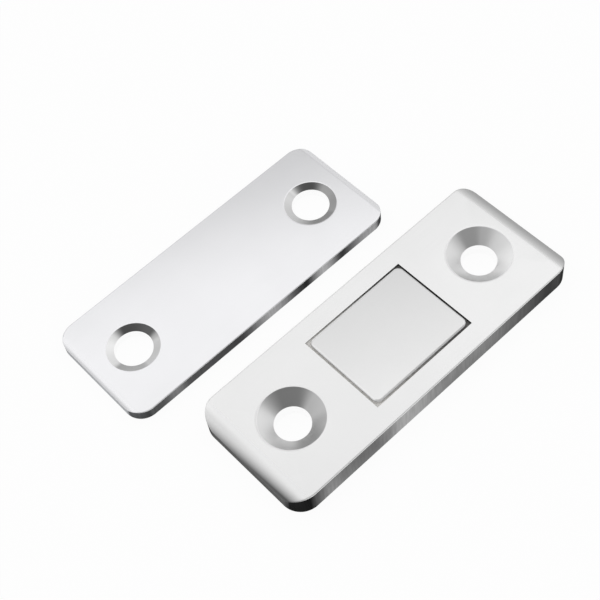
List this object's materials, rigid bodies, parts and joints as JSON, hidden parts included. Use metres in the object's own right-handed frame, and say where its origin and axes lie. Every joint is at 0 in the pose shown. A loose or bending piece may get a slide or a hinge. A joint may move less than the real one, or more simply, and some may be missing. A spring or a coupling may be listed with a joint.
{
  "type": "magnetic catch",
  "caption": "Thin screw-on magnetic catch: a steel plate that carries a plated block magnet in its window, with the thinner steel strike plate that it holds.",
  "frame": {"origin": "centre of the catch plate's back, midway between its two screw holes", "axes": "+X along the plates' long sides, +Y from the catch plate towards the strike plate, +Z out of the faces"},
  "size_m": [0.0522, 0.0396, 0.0036],
  "materials": {
    "catch_steel": "satin",
    "magnet_plating": "fine satin nickel plate",
    "adhesive": "cured resin",
    "strike_steel": "satin"
  },
  "bodies": {
    "root": {"catch_plate": "catch_steel", "magnet": "magnet_plating", "magnet_bond": "adhesive", "strike_plate": "strike_steel"}
  },
  "joints": []
}
